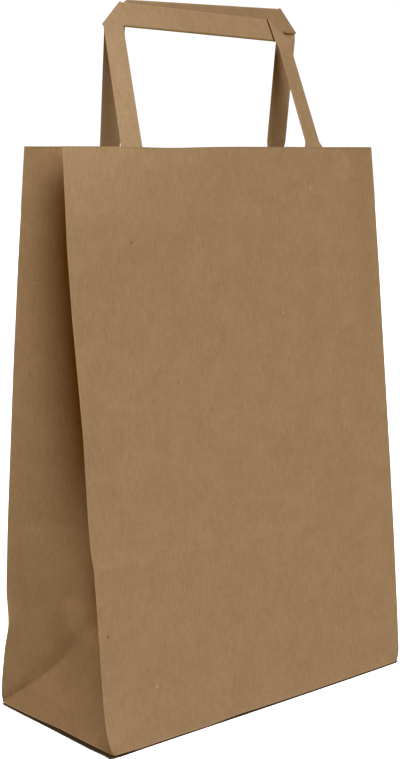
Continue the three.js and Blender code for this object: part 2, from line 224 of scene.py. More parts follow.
# The paper's colours
KRAFT_COLOUR = (0.341, 0.2195, 0.1182)
TAPE_COLOUR = (0.351, 0.2285, 0.1275)
FIBRE_TONE, GRAIN_TONE, MOTTLE_TONE, CLOUD_TONE = 0.058, 0.09, 0.03, 0.03
# How far the wear attribute lightens or darkens the paper: real wear, and painted shade along the slanting
# crease and the bars' lower edges
WEAR_AND_SHADE_TONE = 0.10
# How much more the blue varies with the grain than the red and the green
BLUE_GRAIN = 1.35
PALE_FACTORS = (1.55, 1.65, 1.8)
DEEP_FACTOR = 0.3
FLECK_WOBBLE = 0.0011
DARK_FLECK_SHIFT = (0.37, 0.11, 0.23)
# Single specks on the front panel: place across, height and radius in millimetres
DARK_SPECKS = ((-71.3, 259.6, 0.6), (-47.3, 185.4, 0.5), (-103.9, 61.7, 0.7))
PALE_SPECKS = ((54.1, 285.7, 0.7), (29.6, 217, 0.6), (-75.9, 29.4, 0.7))
SPECULAR = 0.06
BUMP_STRENGTH, BUMP_DISTANCE = 0.25, 0.00012

# Broad lights on the bag: elevation and turn to the left in degrees, strength and colour
WHITE = (1, 1, 1)
SUN_WIDTH_DEG = 40
BAG_SUNS = (
    ("front_light", 20, 20, 1.77, WHITE),
    ("upper_light", 45, 20, 1.05, WHITE),
    ("right_light", 45, -10, 0.34, WHITE),
    ("back_light", 20, 145, 1.40, (1.0, 0.92, 0.84)),
    ("right_back_light", 20, -125, 0.9, WHITE),
)
CORNER_LIGHT_PLACE = (0.75, -0.75, 0.6)
CORNER_LIGHT_AIM = (-0.105, -0.018, 0.345)
CORNER_LIGHT_WIDTH_DEG, CORNER_LIGHT_POWER, CORNER_LIGHT_SIZE = 5, 82, 0.06
CORNER_LIGHT_COLOUR = (0.85, 0.95, 1.0)
FLOOR_SUN_WIDTH_DEG, FLOOR_SUN_STRENGTH = 6, 6.0

# The white ground and the sky
FLOOR_REACH = 6.0
FLOOR_GREY, FLOOR_ROUGHNESS = 0.92, 0.9
# A faint glow painted into the floor's emission, standing in for light that the paper throws on the floor
# under it
GAP_GLOW = (0.006, 0.008, 0.006, 1)
SKY_LEVEL, SKY_SEEN = 0.064, 1.05
# Taken from each channel: shadows in the picture are a little redder and less blue than the paper.
SHADOW_TONE = (-0.005, 0.009, 0.013)


class Panel:
    """One large face of the bag and the handle on it; pairs are left, right as seen from the front."""

    def __init__(self, name, side, folds, draw, turn):
        self.name = name
        self.side = side
        self.folds = folds
        self.draw = draw
        self.turn = turn

    def carry(self, spacing, shift, rise, lean, skew, twist, gap):
        """Tells how the handle on this panel stands."""
        self.spacing = spacing
        self.shift = shift
        self.rise = rise
        self.lean = [math.radians(a) for a in lean]
        self.skew = skew
        self.twist = [math.radians(a) for a in twist]
        self.gap = gap


FRONT = Panel("front", -1, (FRONT_LEFT_FOLD, FRONT_RIGHT_FOLD), FRONT_DRAW, FRONT_TURN)
FRONT.carry(
    spacing=126 * MM,
    shift=-4.1 * MM,
    rise=(77.5 * MM, 77.5 * MM),
    lean=(16, 22.4),
    skew=(0.024, -0.035),
    twist=(0, 12.3),
    gap=(0.1 * MM, 0.9 * MM),
)
BACK = Panel("back", 1, (BACK_LEFT_FOLD, BACK_RIGHT_FOLD), BACK_DRAW, BACK_TURN)
BACK.carry(
    spacing=123.6 * MM,
    shift=6 * MM,
    rise=(76.6 * MM, 79.1 * MM),
    lean=(4, 5),
    skew=(0.008, 0.032),
    twist=(0, 7.3),
    gap=(0.1 * MM, 0.5 * MM),
)

# The walls lean in from the base to the mouth, and the gussets fold to suit.
PANEL_LENGTH = math.hypot(WALL_HEIGHT, HALF_DEPTH - HALF_MOUTH)
PANEL_LEAN = math.asin((HALF_DEPTH - HALF_MOUTH) / PANEL_LENGTH)
END_LEAN = math.acos((1 - math.sin(PANEL_LEAN)) / math.cos(PANEL_LEAN))
APEX_HEIGHT = HALF_DEPTH * math.cos(END_LEAN)
APEX_INSET = HALF_DEPTH * math.sin(END_LEAN)
VALLEY_INSET = math.sqrt(HALF_DEPTH ** 2 - HALF_MOUTH ** 2)
ZONE_HALF_WIDTH = PATCH_WIDTH / 2 + max(abs(FRONT.shift), abs(BACK.shift)) + ZONE_MARGIN
ZONE_HEIGHT = PATCH_HEIGHT + PATCH_DROP + ZONE_MARGIN
PERIMETER = 4 * HALF_WIDTH + 4 * HALF_DEPTH


def lerp(a, b, t):
    return a + (b - a) * t


def smoothstep(x, low, high):
    t = np.clip((x - low) / (high - low), 0, 1)
    return t * t * (3 - 2 * t)


def through(knots, x, rounding):
    """The height at x of a line through knots given in millimetres, its bends rounded."""
    places, values = np.array(knots).T * MM
    offsets = np.linspace(-1, 1, AVERAGE_POINTS) * rounding
    return np.mean([np.interp(x + o, places, values) for o in offsets], axis=0)


class Waves:
    """A smooth random surface with gentle slopes, the same on every run."""

    def __init__(self, seed):
        draw = np.random.default_rng(seed)
        lengths = draw.uniform(*WAVE_LENGTHS, WAVE_COUNT)
        angles = draw.uniform(0, 2 * math.pi, WAVE_COUNT)
        self.kx = 2 * math.pi / lengths * np.cos(angles)
        self.kz = 2 * math.pi / lengths * np.sin(angles)
        self.phase = draw.uniform(0, 2 * math.pi, WAVE_COUNT)
        self.height = WAVE_SLOPE * lengths / (2 * math.pi) * math.sqrt(2 / WAVE_COUNT)

    def at(self, u, h):
        total = np.zeros(np.broadcast(u, h).shape)
        for kx, kz, phase, height in zip(self.kx, self.kz, self.phase, self.height):
            total += height * np.sin(kx * u + kz * h + phase)
        return total


WAVES = {
    "front": Waves(WAVE_SEED),
    "back": Waves(WAVE_SEED + 1),
    1: Waves(WAVE_SEED + 2),
    -1: Waves(WAVE_SEED + 3),
}


def inward(panel, x, h):
    """How far a panel stands inside its straight wall at x and at a height above the foot."""
    across = (x + HALF_WIDTH) / (2 * HALF_WIDTH)
    broad = [through(fold, h, BROAD_BEND) for fold in panel.folds]
    fine = [through(fold, h, FINE_BEND) for fold in panel.folds]
    near_left = np.exp(-(HALF_WIDTH + x) / FOLD_REACH)
    near_right = np.exp(-(HALF_WIDTH - x) / FOLD_REACH)
    ridge = PACKING_RIDGE * np.exp(-(((h - PACKING_HEIGHT) / PACKING_RIDGE_REACH) ** 2)) * (1 - across)
    bow = FOOT_BOW * np.exp(-h / FOOT_BOW_FADE) + PANEL_BOW * np.sin(math.pi * h / WALL_HEIGHT)
    bow = bow * np.sin(math.pi * across)
    folds = lerp(broad[0], broad[1], across) - ridge - bow
    folds = folds + (fine[0] - broad[0]) * near_left + (fine[1] - broad[1]) * near_right
    below = WALL_HEIGHT - h
    zone = panel.draw * (1 - below / DRAW_LENGTH) - panel.turn * x
    flank = 1 - smoothstep(np.abs(x), ZONE_HALF_WIDTH, HALF_WIDTH)
    depth = 1 - smoothstep(below, ZONE_HEIGHT, DRAW_LENGTH)
    from_fold = np.clip((HALF_WIDTH - np.abs(x)) / PANEL_WAVE_FOLD, 0, 1)
    waves = WAVES[panel.name].at(x, h) * from_fold * np.minimum(1, h / PANEL_WAVE_FOOT)
    return lerp(folds + waves, zone, flank * depth)


def panel_point(panel, x, h):
    half_depth = lerp(HALF_DEPTH, HALF_MOUTH, h / WALL_HEIGHT)
    y = panel.side * (half_depth - inward(panel, x, h))
    return np.stack(np.broadcast_arrays(x, y, FOOT + h), axis=-1)


def fold_pair(panel, end, h):
    """A corner fold without its small kinks, and how far the kinks stand inside it."""
    half_depth = lerp(HALF_DEPTH, HALF_MOUTH, h / WALL_HEIGHT)
    knots = panel.folds[0 if end < 0 else 1]
    broad, fine = through(knots, h, BROAD_BEND), through(knots, h, FINE_BEND)
    x = np.full_like(h, end * HALF_WIDTH)
    point = np.stack([x, panel.side * (half_depth - broad), FOOT + h], axis=-1)
    return point, panel.side * (broad - fine)


def left_inset(u, h):
    """How far the left end is folded in, at u across the sheet from its front fold."""
    depth = through(LEFT_DEPTH, h, LEFT_ROUNDING)
    valley = through(LEFT_VALLEY, h, LEFT_ROUNDING)
    to_back = 2 * HALF_DEPTH - u
    share = (to_back / (2 * HALF_DEPTH - valley)).clip(0, 1)
    bulge = 1 - smoothstep(h, STRAIGHT_FROM, STRAIGHT_TO)
    share = np.minimum(share * (1 + bulge * (1 - share)), u / valley)
    held = lerp(np.minimum(1, u / TRIANGLE_EDGE), 1, smoothstep(h, TRIANGLE_TOP, STRIP_FOOT))
    triangle = TRIANGLE_LEAN * h * held + np.maximum(0, h - STRIP_FOOT) / 2
    crease = CREASE_SLOPE * to_back + CREASE_START
    fade = np.exp(-np.maximum(0, h - crease) / (DENT_FADE * crease))
    dent = DENT_LEAN * np.minimum(h, crease) * fade * (1 - np.exp(-u / DENT_FRONT))
    around = np.sin(math.pi * ((h - BACK_ROUND_FROM) / (BACK_ROUND_TO - BACK_ROUND_FROM)).clip(0, 1))
    rounded = BACK_ROUND * around * (1 - np.exp(-to_back / BACK_ROUND_REACH))
    away = ((u - PILLOW_ACROSS) ** 2 + (h - PILLOW_HEIGHT) ** 2) / PILLOW_SIZE ** 2
    pillow = PILLOW * np.exp(-away) * np.minimum(1, u / PILLOW_RAMP)
    pillow = pillow * (1 - smoothstep(h, PILLOW_HEIGHT, PILLOW_TOP))
    return np.minimum(depth * share, triangle) + dent + rounded * np.minimum(1, u / TRIANGLE_EDGE) - pillow


def gusset_point(end, u, h):
    """A point of a gusset, u measured across the sheet from the front fold to the back fold."""
    x = end * HALF_WIDTH
    u, h = np.broadcast_arrays(u, h)
    from_front = u <= HALF_DEPTH
    side_u = np.where(from_front, u, 2 * HALF_DEPTH - u)
    front, front_kink = fold_pair(FRONT, end, h)
    back, back_kink = fold_pair(BACK, end, h)
    climbed = np.minimum(1, h / APEX_HEIGHT)
    above = np.maximum(0, (h - APEX_HEIGHT) / (WALL_HEIGHT - APEX_HEIGHT))
    inset = np.where(climbed < 1, APEX_INSET * climbed, lerp(APEX_INSET, VALLEY_INSET, above))
    middle = (front[..., 1] + back[..., 1]) / 2 * climbed
    side = np.where(from_front, -1, 1)
    fold = np.where(from_front[..., None], front, back)
    reach = HALF_DEPTH * climbed
    crease = np.stack([x - end * inset, middle + side * HALF_DEPTH * (1 - climbed), FOOT + h], axis=-1)
    centre = np.stack([x - end * inset, middle, FOOT + h], axis=-1)
    on_strip = side_u <= reach
    strip = lerp(fold, crease, (side_u / np.maximum(reach, 1e-9)).clip(0, 1)[..., None])
    past = ((side_u - reach) / np.maximum(HALF_DEPTH - reach, 1e-9)).clip(0, 1)
    triangle = lerp(crease, centre, past[..., None])
    point = np.where(on_strip[..., None], strip, triangle)
    if end < 0:
        point[..., 0] = x + left_inset(u, h)
        point[..., 1] = lerp(front[..., 1], back[..., 1], u / (2 * HALF_DEPTH))
    kink = np.where(from_front, front_kink, back_kink)
    point[..., 1] += kink * np.exp(-side_u / GUSSET_FOLD_REACH)
    from_fold = np.minimum(side_u / GUSSET_WAVE_FOLD, 1) * np.minimum(1, h / GUSSET_WAVE_FOOT)
    pleat = GUSSET_PLEAT * (1 - smoothstep(h, PLEAT_FOOT, PLEAT_TOP)) * smoothstep(h, PLEAT_END, PLEAT_FOOT)
    point[..., 0] += end * (WAVES[end].at(u, h) + pleat) * from_fold
    return point


def wall_point(s, h):
    """A point of the walls with sharp folds, s measured round the sheet from the front left fold."""
    s, h = np.broadcast_arrays(np.mod(s, PERIMETER), h)
    width, depth = 2 * HALF_WIDTH, 2 * HALF_DEPTH
    point = panel_point(FRONT, (s - HALF_WIDTH).clip(-HALF_WIDTH, HALF_WIDTH), h)
    right = gusset_point(1, (s - width).clip(0, depth), h)
    back = panel_point(BACK, (width + depth + HALF_WIDTH - s).clip(-HALF_WIDTH, HALF_WIDTH), h)
    left = gusset_point(-1, (PERIMETER - s).clip(0, depth), h)
    point = np.where((s > width)[..., None], right, point)
    point = np.where((s > width + depth)[..., None], back, point)
    return np.where((s > 2 * width + depth)[..., None], left, point)


def lift(s):
    """How far the foot's edge stands off the floor, round the sheet."""
    width, depth = 2 * HALF_WIDTH, 2 * HALF_DEPTH
    s = np.mod(s, PERIMETER)
    front = through(FRONT_LIFT, s, LIFT_ROUNDING)
    left = through(LEFT_LIFT, PERIMETER - s, LIFT_ROUNDING)
    edge = np.where(s > 2 * width + depth, left, PLAIN_LIFT)
    return np.where(s <= width, front, edge)


def rim_dip(s):
    """How far the rims of the panels hang below their straight lines, round the sheet."""
    x = (s - HALF_WIDTH) / MM
    dips = [depth * np.exp(-(((x - place) / width) ** 2)) for place, width, depth in RIM_DIPS]
    across = (s - 2 * HALF_WIDTH - 2 * HALF_DEPTH) / (2 * HALF_WIDTH)
    back = BACK_RIM_DIP * np.sin(math.pi * across.clip(0, 1))
    return np.where(s <= 2 * HALF_WIDTH, sum(dips) * MM, back)


def fold_positions():
    """Places round the sheet of the four corner folds and of the two valleys."""
    width, depth = 2 * HALF_WIDTH, 2 * HALF_DEPTH
    corners = [0, width, width + depth, 2 * width + depth]
    valleys = [width + HALF_DEPTH, 2 * width + depth + HALF_DEPTH]
    return corners, valleys


def distance_round(s, places):
    gaps = [np.abs((s - p + PERIMETER / 2) % PERIMETER - PERIMETER / 2) for p in places]
    return np.min(gaps, axis=0)


def wall_columns():
    """Where the columns of the mesh stand round the sheet, closer together at the folds."""
    corners, valleys = fold_positions()
    stops = sorted(corners + valleys)
    columns = []
    for start, end in zip(stops, stops[1:] + [PERIMETER]):
        step = PANEL_STEP if end - start > 2 * HALF_DEPTH else GUSSET_STEP
        if start >= corners[-1]:
            step = LEFT_STEP
        plain_start, plain_end = start + FOLD_STEPS[-1], end - FOLD_STEPS[-1]
        count = round((plain_end - plain_start) / step)
        columns += [start] + [start + d for d in FOLD_STEPS[:-1]]
        columns += list(np.linspace(plain_start, plain_end, count + 1))
        columns += [end - d for d in reversed(FOLD_STEPS[:-1])]
    lap_edge = 2 * HALF_WIDTH + 2 * HALF_DEPTH + SIDE_LAP
    columns += [lap_edge - LAP_EDGE, lap_edge + LAP_EDGE]
    return np.array(sorted(columns))


def wall_rows():
    """Heights of the mesh rows, closer together at the foot and at the packing crease."""
    rows = []
    start = 0
    for end, step in (*LOW_ROWS, (WALL_HEIGHT, ROW_STEP)):
        rows += list(np.linspace(start, end, round((end - start) / step) + 1))
        start = end
    rows += [FOOT_ROW] + [WALL_HEIGHT - d for d in RIM_ROWS]
    rows += list(PACKING_HEIGHT + PACKING_ROWS)
    rows = np.array(sorted(rows))
    keep = np.append(True, np.diff(rows) > CLOSEST_ROWS)
    return rows[keep]


def soft_walls(s, h):
    """The wall points with every fold rounded, by averaging along the sheet, and the foot lifted."""
    corners, valleys = fold_positions()
    to_corner, to_valley = distance_round(s, corners), distance_round(s, valleys)
    valley_share = 1 - smoothstep(to_valley, VALLEY_SOFT_FROM, VALLEY_SOFT_TO)
    corner_share = 1 - smoothstep(to_corner, CORNER_SOFT_FROM, CORNER_SOFT_TO)
    above_apex = smoothstep(h, APEX_HEIGHT * APEX_SOFT_FROM, APEX_HEIGHT * APEX_SOFT_TO)
    front_from, front_to = PERIMETER - HALF_DEPTH * FRONT_SOFT_FROM, PERIMETER - HALF_DEPTH * FRONT_SOFT_TO
    front_half = smoothstep(s, front_from, front_to)
    reach = lerp(CREASE_SOFTNESS, FRONT_CREASE_SOFTNESS, front_half)
    reach = lerp(reach, VALLEY_SOFTNESS, valley_share * above_apex)
    blunt = CORNER_BLUNT * np.maximum(0, 1 - h / BLUNT_HEIGHT) ** 2
    reach = lerp(reach, FOLD_SOFTNESS + blunt, corner_share)
    offsets = np.linspace(-1, 1, AVERAGE_POINTS)
    weights = 1 - np.abs(offsets) * AVERAGE_TAPER
    total = sum(w * wall_point(s + reach * t, h) for t, w in zip(offsets, weights))
    points = total / weights.sum()
    near = np.exp(-((distance_round(s, [0]) / TUCK_REACH) ** 2)) * np.maximum(0, 1 - h / BLUNT_HEIGHT) ** 2
    points[..., 0] += TUCK_X * near
    points[..., 1] += TUCK_Y * near
    points[..., 2] += lift(s) * np.maximum(0, 1 - h / LIFT_FADE) ** 2
    points[..., 2] -= rim_dip(s) * np.maximum(0, 1 - (WALL_HEIGHT - h) / RIM_DIP_FADE)
    return points


def foot_ring(edge):
    """Rows that run from the foot's lifted edge in to the flat bottom, innermost first."""
    rows = []
    for t in np.linspace(1, 0, FOOT_RING_ROWS)[:-1]:
        row = edge.copy()
        row[:, 0] *= 1 - t * FOOT_SLOPE / HALF_WIDTH
        row[:, 1] *= 1 - t * FOOT_SLOPE / HALF_DEPTH
        row[:, 2] = lerp(edge[:, 2], FOOT_LEVEL, smoothstep(t, 0, 1))
        rows.append(row)
    return np.array(rows)


def grid_normals(points):
    """Normals of a grid whose columns close on themselves."""
    wrapped = np.concatenate([points[:, -1:], points, points[:, :1]], axis=1)
    round_step = wrapped[:, 2:] - wrapped[:, :-2]
    up_step = np.gradient(points, axis=0)
    normal = np.cross(round_step, up_step)
    return normal / np.linalg.norm(normal, axis=-1, keepdims=True)


def quads_of(grid, closed):
    """Faces of a grid of vertex numbers, its columns closed on themselves or not."""
    following = np.roll(grid, -1, axis=1)
    if not closed:
        grid, following = grid[:, :-1], following[:, :-1]
    quads = np.stack([grid[:-1], following[:-1], following[1:], grid[1:]], axis=-1)
    return quads.reshape(-1, 4)


def mesh_piece(name, vertices, faces, node, material, wear_and_shade=None):
    """Makes a smooth mesh piece that stands for a node of the frame, its cut edges kept crisp."""
    mesh = bpy.data.meshes.new(name)
    mesh.from_pydata([tuple(v) for v in vertices], [], [tuple(int(i) for i in f) for f in faces])
    mesh.validate()
    mesh.polygons.foreach_set("use_smooth", [True] * len(mesh.polygons))
    attribute = mesh.attributes.new("wear_and_shade", "FLOAT", "POINT")
    attribute.data.foreach_set("value", np.zeros(len(vertices)) if wear_and_shade is None else wear_and_shade)
    mesh.materials.append(material)
    mesh.set_sharp_from_angle(angle=math.radians(SHARP_DEG))
    mesh.update()
    piece = bpy.data.objects.new(name, mesh)
    bpy.context.scene.collection.objects.link(piece)
    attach(piece, "root")
    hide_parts(node)
    return piece


def prism(outline, low, high, start):
    """A flat layer of paper as vertices and faces, its outline anticlockwise from above."""
    count = len(outline)
    vertices = [(x, y, low) for x, y in outline] + [(x, y, high) for x, y in outline]
    faces = [tuple(reversed(range(count))), tuple(range(count, 2 * count))]
    faces += [(i, (i + 1) % count, (i + 1) % count + count, i + count) for i in range(count)]
    return vertices, [tuple(i + start for i in f) for f in faces]


def bottom_layers():
    """Outlines and levels of the bottom's flaps: the long ones with slanting ends, then the end flaps."""
    x, y = HALF_WIDTH - FOOT_SLOPE + FLAP_MARGIN, HALF_DEPTH - FOOT_SLOPE + FLAP_MARGIN
    reach = y + FLAP_OVERLAP / 2
    front = [(-x, -y), (x, -y), (x - reach, reach - y), (reach - x, reach - y)]
    back = [(px, -py) for px, py in reversed(front)]
    inside = HALF_WIDTH - HALF_DEPTH - END_FLAP_OVERLAP
    right = [(inside, -y), (x, -y), (x, y), (inside, y)]
    left = [(-px, py) for px, py in reversed(right)]
    ends = [(right, 2 * PAPER, 3 * PAPER), (left, 2 * PAPER, 3 * PAPER)]
    return [(front, 0, PAPER), (back, PAPER, 2 * PAPER)] + ends


def lap_height(s):
    """How far the glued side lap stands proud on the back panel."""
    past = s - 2 * HALF_WIDTH - 2 * HALF_DEPTH
    step = 1 - smoothstep(past, SIDE_LAP - LAP_EDGE, SIDE_LAP + LAP_EDGE)
    return np.where((past > LAP_START) & (past < SIDE_LAP + LAP_TAIL), PAPER * step, 0)


def crease_painted_shade(s, h):
    """How much shade is painted on the upper side of the left end's slanting crease, most at its corner."""
    to_back = s - 4 * HALF_WIDTH - 2 * HALF_DEPTH
    crease = CREASE_SLOPE * np.maximum(0, to_back) + CREASE_START
    above = h - crease
    band = np.exp(-np.maximum(0, above) / (TONE_FADE * crease)) * smoothstep(above, *TONE_EDGE)
    deep = 1 + TONE_CORNER * np.exp(-to_back.clip(0, None) / TONE_CORNER_REACH)
    return np.where(to_back > 0, band * deep * (1 - smoothstep(to_back, *TONE_END)), 0)


def body_wear_and_shade(s, h):
    """Paler at the worn folds and along the foot, darker at the cut rim, with shade painted along the slanting
    crease.
    """
    corners, _ = fold_positions()
    worn_and_shaded = FOLD_WEAR * np.exp(-((distance_round(s, corners) / FOLD_WEAR_WIDTH) ** 2))
    worn_and_shaded = np.maximum(worn_and_shaded, FOOT_WEAR * np.exp(-((h / FOOT_WEAR_WIDTH) ** 2)))
    packed = PACKING_WEAR * np.exp(-(((h - PACKING_HEIGHT) / PACKING_WEAR_WIDTH) ** 2))
    worn_and_shaded = np.maximum(worn_and_shaded, packed)
    # shade painted on the upper side of the slanting crease
    worn_and_shaded = worn_and_shaded - CREASE_PAINTED_SHADE * crease_painted_shade(s, h)
    return worn_and_shaded - RIM_TONE * np.exp(-(((WALL_HEIGHT - h) / RIM_TONE_WIDTH) ** 2))


def build_body(material):
    """The folded sheet: walls with gussets, and the block bottom."""
    s, h = np.meshgrid(wall_columns(), wall_rows())
    walls = soft_walls(s, h)
    ring = foot_ring(walls[0])
    outer = np.concatenate([ring, walls])
    s = np.concatenate([s[:len(ring)], s])
    h = np.concatenate([np.zeros_like(h[:len(ring)]), h])
    normals = grid_normals(outer)
    inner = outer - PAPER * normals
    outer = outer + normals * lap_height(s)[..., None]
    count = outer.shape[0] * outer.shape[1]
    outside = np.arange(count).reshape(outer.shape[:2])
    inside = outside + count
    rim = np.stack([outside[-1], inside[-1]])
    foot = np.stack([inside[0], outside[0]])
    faces = [quads_of(outside, True), quads_of(inside, True)[:, ::-1]]
    faces += [quads_of(rim, True), quads_of(foot, True)]
    faces = [tuple(f) for f in np.concatenate(faces)]
    vertices = [tuple(v) for v in np.concatenate([outer.reshape(-1, 3), inner.reshape(-1, 3)])]
    worn_and_shaded = body_wear_and_shade(s, h).ravel()
    wear_and_shade = np.concatenate([worn_and_shaded, worn_and_shaded])
    for outline, low, high in bottom_layers():
        layer, layer_faces = prism(outline, low, high, len(vertices))
        vertices += layer
        faces += layer_faces
        wear_and_shade = np.append(wear_and_shade, np.zeros(len(layer)))
    return mesh_piece("bag_body_paper", vertices, faces, "bag_body", material, wear_and_shade)


class Zone:
    """The flat stretch of a panel: x along the rim with the outside behind it, y into the bag, z up."""

    def __init__(self, panel):
        top = np.array(WALL_HEIGHT)
        self.seat = panel_point(panel, np.array(panel.shift), top)
        beside = panel_point(panel, np.array(panel.shift - panel.side * MM), top)
        painted_shade_edge = panel_point(panel, np.array(panel.shift), top - PATCH_HEIGHT)
        self.along = (beside - self.seat) / np.linalg.norm(beside - self.seat)
        into = np.cross(self.seat - painted_shade_edge, self.along)
        self.into = into / np.linalg.norm(into)
        self.up = np.cross(self.along, self.into)
        self.lean = math.asin(-self.into[2])

    def world(self, local):
        local = np.asarray(local)
        x, y, z = local[..., :1], local[..., 1:2], local[..., 2:]
        return self.seat + x * self.along + y * self.into + z * self.up


class Strap:
    """The middle sheet of one folded tape handle, in the coordinates of its zone."""

    def __init__(self, panel, zone):
        self.panel = panel
        self.zone = zone
        self.outer = panel.spacing / 2 + STRAP_WIDTH / 2
        self.inner = panel.spacing / 2 - STRAP_WIDTH / 2
        self.top = (panel.rise[0] + panel.rise[1]) / 2
        self.low = self.top - STRAP_WIDTH
        self.leg_layer = STRAP_THICKNESS / 2

    def between(self, pair, x):
        """A value that goes from the left leg to the right one as seen from the front."""
        return lerp(pair[0], pair[1], 0.5 - self.panel.side * (x / self.panel.spacing))

    def place(self, x, y, height):
        """Where a point of the flat handle lies: above the rim the strap leans and is skewed."""
        lean = self.between(self.panel.lean, x) - self.zone.lean
        rise = max(0, height) * (self.between(self.panel.rise, x) / self.top)
        sideways = x - self.panel.side * self.between(self.panel.skew, x) * rise
        up = height if height < 0 else rise * math.cos(lean)
        return np.array([sideways, PAPER + GLUE + y + rise * math.sin(lean), up])

    def bar_layer(self, x):
        return 1.5 * STRAP_THICKNESS + self.between(self.panel.gap, x)

    def level(self, end, height):
        """The two edges of a leg at a height, with the leg's twist."""
        edges = [self.place(end * x, self.leg_layer, height) for x in (self.outer, self.inner)]
        share = min(1, max(0, min(height, self.low - height)) / TWIST_RUN)
        angle = end * share * self.panel.twist[1 if end * self.panel.side < 0 else 0]
        c, s = math.cos(angle), math.sin(angle)
        turn = np.array([[c, -s, 0], [s, c, 0], [0, 0, 1]])
        middle = (edges[0] + edges[1]) / 2
        return [middle + turn @ (edge - middle) for edge in edges]

    def mitre(self, end, angle):
        """A line across the tape where it folds over at 45 degrees."""
        bar_layer = self.bar_layer(end * self.panel.spacing / 2)
        radius = (bar_layer - self.leg_layer) / 2
        reach = radius * math.cos(angle) / math.sqrt(2)
        y = (self.leg_layer + bar_layer) / 2 + radius * math.sin(angle)
        first = self.place(end * (self.outer + reach), y, self.low + reach)
        second = self.place(end * (self.inner - MITRE_CUT + reach), y, self.top + reach)
        return [first, second]

    def bar(self, x):
        return [self.place(x, self.bar_layer(x), self.low), self.place(x, self.bar_layer(x), self.top)]

    def leg(self, end):
        """Sections from the glued end up to the fold."""
        glued = np.linspace(-LEG_GLUED, 0, GLUED_SECTIONS)
        free = np.linspace(0, self.low - TURN_START, FREE_SECTIONS)[1:]
        turns = np.linspace(-math.pi / 2, math.pi / 2, TURN_SECTIONS)
        return [self.level(end, h) for h in [*glued, *free]] + [self.mitre(end, a) for a in turns]

    def sections(self):
        reach = self.inner - MITRE_CUT - BAR_MARGIN
        across = [self.bar(x) for x in np.linspace(-reach, reach, BAR_SECTIONS)]
        return np.array(self.leg(-1) + across + self.leg(1)[::-1])


def build_handle(panel, material):
    """One folded tape with rounded edges, swept through its sections."""
    zone = Zone(panel)
    edges = zone.world(Strap(panel, zone).sections())
    first, second = edges[:, 0], edges[:, 1]
    ahead = np.gradient((first + second) / 2, axis=0)
    across = second - first
    normal = np.cross(ahead, across)
    normal /= np.linalg.norm(normal, axis=1, keepdims=True)
    half = STRAP_THICKNESS / 2
    profile = [(t, half * w) for t, w in zip(TAPE_SHARES, TAPE_SWELL)]
    profile += [(t, -half * w) for t, w in zip(TAPE_SHARES[::-1], TAPE_SWELL[::-1])]
    rings = np.stack([first + across * t + normal * d for t, d in profile], axis=1)
    numbers = np.arange(rings.shape[0] * rings.shape[1]).reshape(rings.shape[:2])
    faces = [tuple(f) for f in quads_of(numbers, True)]
    faces += [tuple(numbers[0][::-1]), tuple(numbers[-1])]
    edge = [max(0, 1 - min(t, 1 - t) / TAPE_EDGE) for t, d in profile]
    wear_and_shade = np.tile(edge, (rings.shape[0], 1))
    bar_start = (len(rings) - BAR_SECTIONS) // 2
    # a shadow line painted along the bar's lower edge
    painted_shade_edge = [t < BAR_SHADE_WIDTH for t, d in profile]
    wear_and_shade[bar_start:bar_start + BAR_SECTIONS, painted_shade_edge] = BAR_PAINTED_SHADE
    name = f"{panel.name}_handle"
    vertices = rings.reshape(-1, 3)
    return mesh_piece(f"{name}_tape", vertices, faces, name, material, wear_and_shade.ravel())


def build_patch(panel, material):
    """The sheet glued over the strap ends, following the panel and rising over each strap."""
    zone = Zone(panel)
    low = PAPER + GLUE
    high = low + STRAP_THICKNESS + GLUE
    half = STRAP_WIDTH / 2 + STRAP_CLEARANCE
    legs = (-panel.spacing / 2, panel.spacing / 2)
    xs = list(np.linspace(-PATCH_WIDTH / 2, PATCH_WIDTH / 2, PATCH_COLUMNS))
    for leg in legs:
        for side in (-1, 1):
            xs += list(leg + side * (half + PATCH_RAMP * RAMP_COLUMNS))
    xs = np.unique(np.round(np.array(xs), 6))
    xs = xs[np.abs(xs) <= PATCH_WIDTH / 2]
    zs = np.linspace(-PATCH_DROP - PATCH_HEIGHT, -PATCH_DROP, PATCH_ROWS)
    x, z = np.meshgrid(xs, zs)
    from_leg = np.min([np.abs(x - leg) for leg in legs], axis=0)
    level = lerp(high, low, smoothstep(from_leg, half, half + PATCH_RAMP))
    outer = zone.world(np.stack([x, level, z], axis=-1))
    inner = zone.world(np.stack([x, level + PAPER, z], axis=-1))
    outside = np.arange(x.size).reshape(x.shape)
    inside = outside + x.size
    border = np.concatenate([outside[0], outside[1:, -1], outside[-1, -2::-1], outside[-2:0:-1, 0]])
    faces = [quads_of(outside, False), quads_of(inside, False)[:, ::-1]]
    faces.append(quads_of(np.stack([border + x.size, border]), True))
    faces = [tuple(f) for f in np.concatenate(faces)]
    vertices = np.concatenate([outer.reshape(-1, 3), inner.reshape(-1, 3)])
    name = f"{panel.name}_handle_patch"
    return mesh_piece(f"{name}_paper", vertices, faces, name, material)


